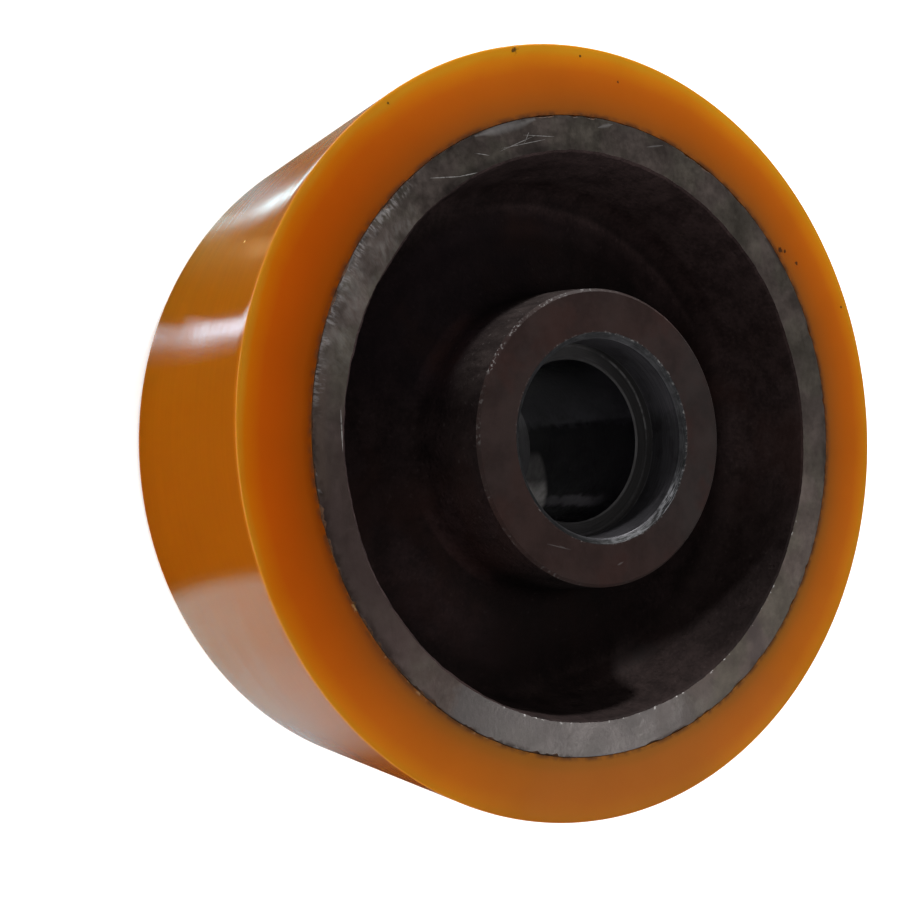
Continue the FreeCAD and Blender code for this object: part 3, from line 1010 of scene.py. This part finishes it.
def centre_section(s):
    """Section of the wheel centre, with the finish of each run."""
    slope = math.tan(s.pocket_draft)
    rim_inner = s.bond_radius - s.rim_wall
    bond = s.bond_radius - 0.02 * MM
    shoulder = s.hub_half - s.seat_depth
    relief = s.seat_radius + s.relief_depth
    hub_root = (s.hub_radius + (s.hub_half - s.web_half) * slope, s.web_half)
    rim_root = (rim_inner - (s.half_width - s.web_half) * slope, s.web_half)
    rim_lip = (rim_inner, s.half_width - s.rim_edge)
    cast_step = 2.2 * MM
    run = Section(s.bore_radius, 0.0)
    run.to(s.bore_radius, shoulder - s.shoulder_edge, "rough_bore", 4 * MM)
    run.to(s.bore_radius + s.shoulder_edge, shoulder, "bearing_seat")
    run.to(relief, shoulder, "bearing_seat", 2 * MM)
    run.to(relief, shoulder + s.relief_width, "bearing_seat")
    run.to(s.seat_radius, shoulder + s.relief_width, "bearing_seat")
    run.to(s.seat_radius, s.hub_half - s.lead_in, "bearing_seat", 4 * MM)
    run.to(s.seat_radius + s.lead_in, s.hub_half, "bearing_seat")
    run.to(s.hub_radius - s.hub_edge, s.hub_half, "hub_face", 2.5 * MM)
    run.to(s.hub_radius, s.hub_half - s.hub_edge, "hub_face")
    run.round_corner(hub_root, rim_root, s.pocket_fillet, "as_cast", cast_step)
    run.round_corner(rim_root, rim_lip, s.pocket_fillet, "as_cast", cast_step)
    run.to(*rim_lip, "as_cast", cast_step)
    run.to(rim_inner + s.rim_edge, s.half_width, "as_cast")
    run.to(s.bond_radius - 0.08 * MM, s.half_width, "ground_rim", cast_step)
    run.to(bond, s.half_width - s.bond_groove, "bond_line")
    run.to(bond, 0.0, "bond_line", 20 * MM)
    return run.both_ends()


def carve_centre(s, points, finishes, angles, radius, height):
    """Wavy cast pockets, an uneven rim lip, chipped corners at the bond and a ledge in the bore."""
    across, up = points[:, 0], points[:, 1]
    rim_inner = s.bond_radius - s.rim_wall

    # The cast skin
    cast = within(finishes, "as_cast")
    padded = np.r_[cast[-2:], cast, cast[:2]].astype(float)
    weight = np.convolve(padded, [0.25, 0.5, 0.25], "same")[2:-2] * cast
    places = in_space(radius, height, angles)
    lump = 0.65 * swell(places, 22 * MM, 3) + 0.35 * swell(places, 8 * MM, 4)
    push = weight[:, None] * lump * s.cast_wave
    normals = section_normals(points)
    radius += push * normals[:, 0:1]
    height += push * normals[:, 1:2]

    # The lip, down to where its drift has faded, and the bond
    fade = 14 * MM
    wall = (across > rim_inner - 2.5 * MM) & (across < rim_inner + 2 * s.rim_edge)
    depth = s.half_width - np.abs(points[:, 1:2])
    radius += wall[:, None] * np.clip(1 - depth / fade, 0, None) * drift("lip", angles)
    radius[across > s.bond_radius - 0.5 * MM] += drift("bond", angles)

    # Burrs and chips at both ends, with one notch at the bond
    top = np.abs(np.abs(up) - s.half_width) < 1.5 * s.bond_groove
    lip = top & (across > rim_inner - 1 * MM) & (across < rim_inner + 2 * s.rim_edge)
    notch = (angles - math.radians(NOTCH_ANGLE)) * s.bond_radius / (1.5 * MM)
    notch = 1 * MM * np.clip(1 - notch ** 2, 0, None)
    for end, seed in ((1, 11), (-1, 12)):
        edge = lip & (up * end > 0)
        radius[edge] += 0.25 * MM * round_wave(angles, 3, 24, seed)
        radius[edge] += 0.10 * MM * round_wave(angles, 60, 240, seed + 5)
        bite = chips(angles, s.bond_radius, seed + 20, count=40, widest=2.6 * MM, deepest=0.6 * MM)
        crumbs = chips(
            angles, s.bond_radius, seed + 40, count=30, widest=1.5 * MM, deepest=0.9 * MM, span=(272, 345)
        )
        bite = np.maximum.reduce([bite, crumbs, notch])
        bite += 0.03 * MM * (1 + round_wave(angles, 40, 300, seed + 30))
        radius[bond_corner(s, points, end)] -= bite

    # The ledge in the bore
    away = turned_from(angles, math.radians(LEDGE_ANGLE))
    ledge = np.exp(-np.clip(away, 0, None) / 0.7) / (1 + np.exp(-away * s.bore_radius / (0.25 * MM)))
    bore = within(finishes, "rough_bore")
    radius[bore] += 0.08 * MM * round_wave(angles, 2, 9, 41) - 0.45 * MM * ledge


def tyre_section(s):
    """Section of the tyre, with a rounded tread edge and an open line where it leaves the rim."""
    face = (s.tread_radius, s.half_width)
    run = Section(s.bond_radius, 0.0)
    run.to(s.bond_radius, s.half_width - s.bond_groove, "bond_line", 20 * MM)
    run.to(s.bond_radius + 0.05 * MM, s.half_width, "polyurethane")
    run.round_corner(face, (s.tread_radius, 0.0), s.tread_edge, "polyurethane", 2 * MM)
    run.to(s.tread_radius, 0.0, "polyurethane", 4 * MM)
    return run.both_ends()


def carve_tyre(s, points, finishes, angles, radius, height):
    """A tread turned slightly out of true, and an uneven inner corner, trimmed against the rim."""
    outer = (points[:, 0:1] - s.bond_radius) / (s.tread_radius - s.bond_radius)
    upper = 0.5 + 0.5 * points[:, 1:2] / s.half_width
    high_side = np.clip(np.cos(angles - math.radians(HIGH_SIDE)), 0, None)
    radius += outer * upper * (s.run_out * high_side + drift("tread", angles))
    radius += outer * (1 - upper) * drift("rear", angles)
    radius[points[:, 0] < s.bond_radius + 0.5 * MM] += drift("bond", angles)
    for end, seed in ((1, 71), (-1, 72)):
        bite = chips(angles, s.bond_radius, seed, count=12, widest=1.6 * MM, deepest=0.3 * MM)
        bite += 0.03 * MM * (1 + round_wave(angles, 40, 300, seed + 9))
        radius[bond_corner(s, points, end)] += bite


class WHEEL_OT_centre(bpy.types.Operator):
    """Builds the cast wheel centre with its machined faces and bearing seats"""

    bl_idname = "wheel.centre"
    bl_label = "Wheel Centre"

    def execute(self, context):
        makers = (ground_rim, bond_line, as_cast, hub_face, bearing_seat, rough_bore)
        piece = add_turned("cast_wheel_centre", centre_section, carve_centre, makers, context.scene)
        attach(piece, "root")
        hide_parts("wheel_centre")
        return {"FINISHED"}


class WHEEL_OT_tyre(bpy.types.Operator):
    """Builds the polyurethane tyre that is bonded round the rim"""

    bl_idname = "wheel.tyre"
    bl_label = "Polyurethane Tyre"

    def execute(self, context):
        makers = (polyurethane, bond_line)
        piece = add_turned("amber_tyre", tyre_section, carve_tyre, makers, context.scene)
        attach(piece, "root")
        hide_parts("polyurethane_tyre")
        return {"FINISHED"}


# Studio

def add_lamp(name, kind, azimuth, elevation, distance, power, **settings):
    """A lamp that stands in that direction from the wheel and points at it."""
    data = bpy.data.lights.new(name, kind)
    data.energy = power
    for key, value in settings.items():
        setattr(data, key, value)
    lamp = add_object(name, data)
    turn, rise = math.radians(azimuth), math.radians(elevation)
    towards = Vector((math.cos(turn) * math.cos(rise), math.sin(turn) * math.cos(rise), math.sin(rise)))
    lamp.location = towards * distance
    lamp.rotation_mode = "QUATERNION"
    lamp.rotation_quaternion = (-towards).to_track_quat("-Z", "Y")
    return lamp


def light_only(lamp, receiver):
    """Keeps a lamp's light to one object."""
    lit = bpy.data.collections.new("lit_" + receiver.name)
    lit.objects.link(receiver)
    lamp.light_linking.receiver_collection = lit


def ring_sector(start, end, inner, outer, pieces=60):
    """Corners of a flat piece of a ring about the axis, in degrees and millimetres."""
    turns = [math.radians(start + (end - start) * i / pieces) for i in range(pieces + 1)]
    edge = [(outer * math.cos(turn), outer * math.sin(turn)) for turn in turns]
    return edge + [(inner * math.cos(turn), inner * math.sin(turn)) for turn in reversed(turns)]


def add_card(name, rise, tones, fade, strength=1.0, slant=0.0, cover=()):
    """A ring of card on the floor beside the tread, which shows only in its gloss.

    Its colours go by angle in degrees, which leans by so many degrees a millimetre, and it fades by radius
    in millimetres. Its cover, given as a middle, a half width and a fade, hides the floor; a card without
    a cover adds its light to the floor's.
    """
    level = rise * MM - bpy.context.scene.wheel_sizes.hub_half
    corners = [(x * MM, y * MM, level) for x, y in ring_sector(start=170, end=365, inner=98, outer=180)]
    card = add_mesh(name, corners, [range(len(corners))])
    material = bpy.data.materials.new(name)
    material.use_nodes = True
    tree = material.node_tree
    tree.nodes.clear()
    sh = Shader(tree)
    at = sh.effect("turned_coordinates")
    lean = sh.times(sh.minus(at["Radius"], CARD_MIDDLE * MM), math.radians(slant) / MM)
    tone = sh.round_ramp(sh.plus(at["Angle"], lean), tones)
    stops = [(radius / CARD_REACH, (grey,) * 3) for radius, grey in fade]
    shown = sh.ramp(sh.times(at["Radius"], 1 / (CARD_REACH * MM)), stops)
    clear = sh.add("BsdfTransparent").outputs[0]
    if cover:
        mask = sh.times(sh.sector(at["Angle"], *cover), shown)
        glow = sh.add("Emission", {"Strength": strength, "Color": tone}).outputs[0]
        surface = sh.add("MixShader", {0: mask, 1: clear, 2: glow})
    else:
        faded = sh.mix(1.0, tone, shown, "MULTIPLY")
        glow = sh.add("Emission", {"Strength": strength, "Color": faded}).outputs[0]
        surface = sh.add("AddShader", {0: clear, 1: glow})
    sh.add("OutputMaterial", {"Surface": surface.outputs[0]})
    card.data.materials.append(material)
    for ray in ("camera", "diffuse", "transmission", "volume_scatter", "shadow"):
        setattr(card, "visible_" + ray, False)


def add_floor(settings, sizes, reach=4.0):
    """A wide pale floor under the wheel."""
    signs = ((-1, -1), (1, -1), (1, 1), (-1, 1))
    floor = add_mesh("floor", [(x * reach, y * reach, -sizes.hub_half) for x, y in signs], [(0, 1, 2, 3)])
    material = bpy.data.materials.new("pale_floor")
    material.use_nodes = True
    shader = material.node_tree.nodes["Principled BSDF"]
    shader.inputs["Base Color"].default_value = rgba(settings.floor)
    shader.inputs["Roughness"].default_value = 1.0
    shader.inputs["Specular IOR Level"].default_value = 0.0
    floor.data.materials.append(material)
    return floor


def set_world(scene):
    """A world that is white near the horizon and dimmer overhead."""
    world = bpy.data.worlds.new("studio")
    world.use_nodes = True
    sh = Shader(world.node_tree)
    rise = sh.add("SeparateXYZ", {0: sh.add("TexCoord").outputs["Generated"]}).outputs[2]
    background = world.node_tree.nodes["Background"]
    sh.set(background.inputs["Color"], sh.ramp(rise, SKY))
    scene.world = world


def add_camera(settings):
    """The camera, turned about its own axis after it is aimed."""
    data = bpy.data.cameras.new("camera")
    data.lens = settings.lens
    data.sensor_width = 36
    data.shift_y = settings.shift
    data.clip_start = 0.01
    camera = add_object("camera", data)
    camera.location = settings.camera_place
    camera.rotation_mode = "QUATERNION"
    aim = Vector(settings.camera_target) - Vector(settings.camera_place)
    roll = Quaternion((0, 0, 1), settings.camera_roll)
    camera.rotation_quaternion = aim.to_track_quat("-Z", "Y") @ roll
    return camera


class WHEEL_OT_studio(bpy.types.Operator):
    """Sets the floor, the lamps, the world and the camera"""

    bl_idname = "wheel.studio"
    bl_label = "Studio"

    def execute(self, context):
        scene = context.scene
        floor = add_floor(scene.wheel_studio, scene.wheel_sizes)
        set_world(scene)
        low_key = {"azimuth": 158, "elevation": 15, "distance": 1.0, "size": 0.06}
        add_lamp("key", "AREA", power=8.5, **low_key)
        iron_key = add_lamp("iron_key", "AREA", power=6.0, **low_key)
        light_only(iron_key, bpy.data.objects["cast_wheel_centre"])
        fill = add_lamp("fill", "AREA", azimuth=265, elevation=55, distance=1.2, power=9.5, size=0.8)
        fill.visible_glossy = False
        add_lamp("rim_panel", "AREA", azimuth=58, elevation=46, distance=1.0, power=1.0, size=0.3)
        sun = add_lamp(
            "floor_sun", "SUN", azimuth=15, elevation=80, distance=2.0, power=3.0, angle=math.radians(40)
        )
        light_only(sun, floor)
        add_card("grey_card", 0.2, CARD_TONES, [(150, 1), (178, 0)], cover=(268, 1.4, 0.15))
        for i, (name, (tint, strength, slant, levels, fade)) in enumerate(GLOWS.items()):
            tones = [(angle, toned(tint, level)) for angle, level in levels]
            add_card(name, 0.4 + 0.2 * i, tones, fade, strength, slant)
        scene.camera = add_camera(scene.wheel_studio)
        scene.view_settings.view_transform = "Standard"
        return {"FINISHED"}


class WHEEL_PT_panel(bpy.types.Panel):
    """Lists the wheel's pieces, sizes and colours"""

    bl_idname = "WHEEL_PT_panel"
    bl_label = "Polyurethane Wheel"
    bl_space_type = "VIEW_3D"
    bl_region_type = "UI"
    bl_category = "Wheel"

    def draw(self, context):
        layout = self.layout
        for operator in OPERATORS:
            layout.operator(operator.bl_idname)
        for group in (context.scene.wheel_sizes, context.scene.wheel_colours, context.scene.wheel_studio):
            box = layout.box()
            for name in group.__annotations__:
                box.prop(group, name)


OPERATORS = (WHEEL_OT_centre, WHEEL_OT_tyre, WHEEL_OT_studio)
CLASSES = (WheelSizes, WheelColours, StudioSettings, *OPERATORS, WHEEL_PT_panel)


def register():
    for item in CLASSES:
        bpy.utils.register_class(item)
    bpy.types.Scene.wheel_sizes = PointerProperty(type=WheelSizes)
    bpy.types.Scene.wheel_colours = PointerProperty(type=WheelColours)
    bpy.types.Scene.wheel_studio = PointerProperty(type=StudioSettings)


def unregister():
    for name in ("wheel_sizes", "wheel_colours", "wheel_studio"):
        delattr(bpy.types.Scene, name)
    for item in reversed(CLASSES):
        bpy.utils.unregister_class(item)


def main():
    register()
    bpy.ops.wheel.centre()
    bpy.ops.wheel.tyre()
    bpy.ops.wheel.studio()


if __name__ == "__main__":
    main()
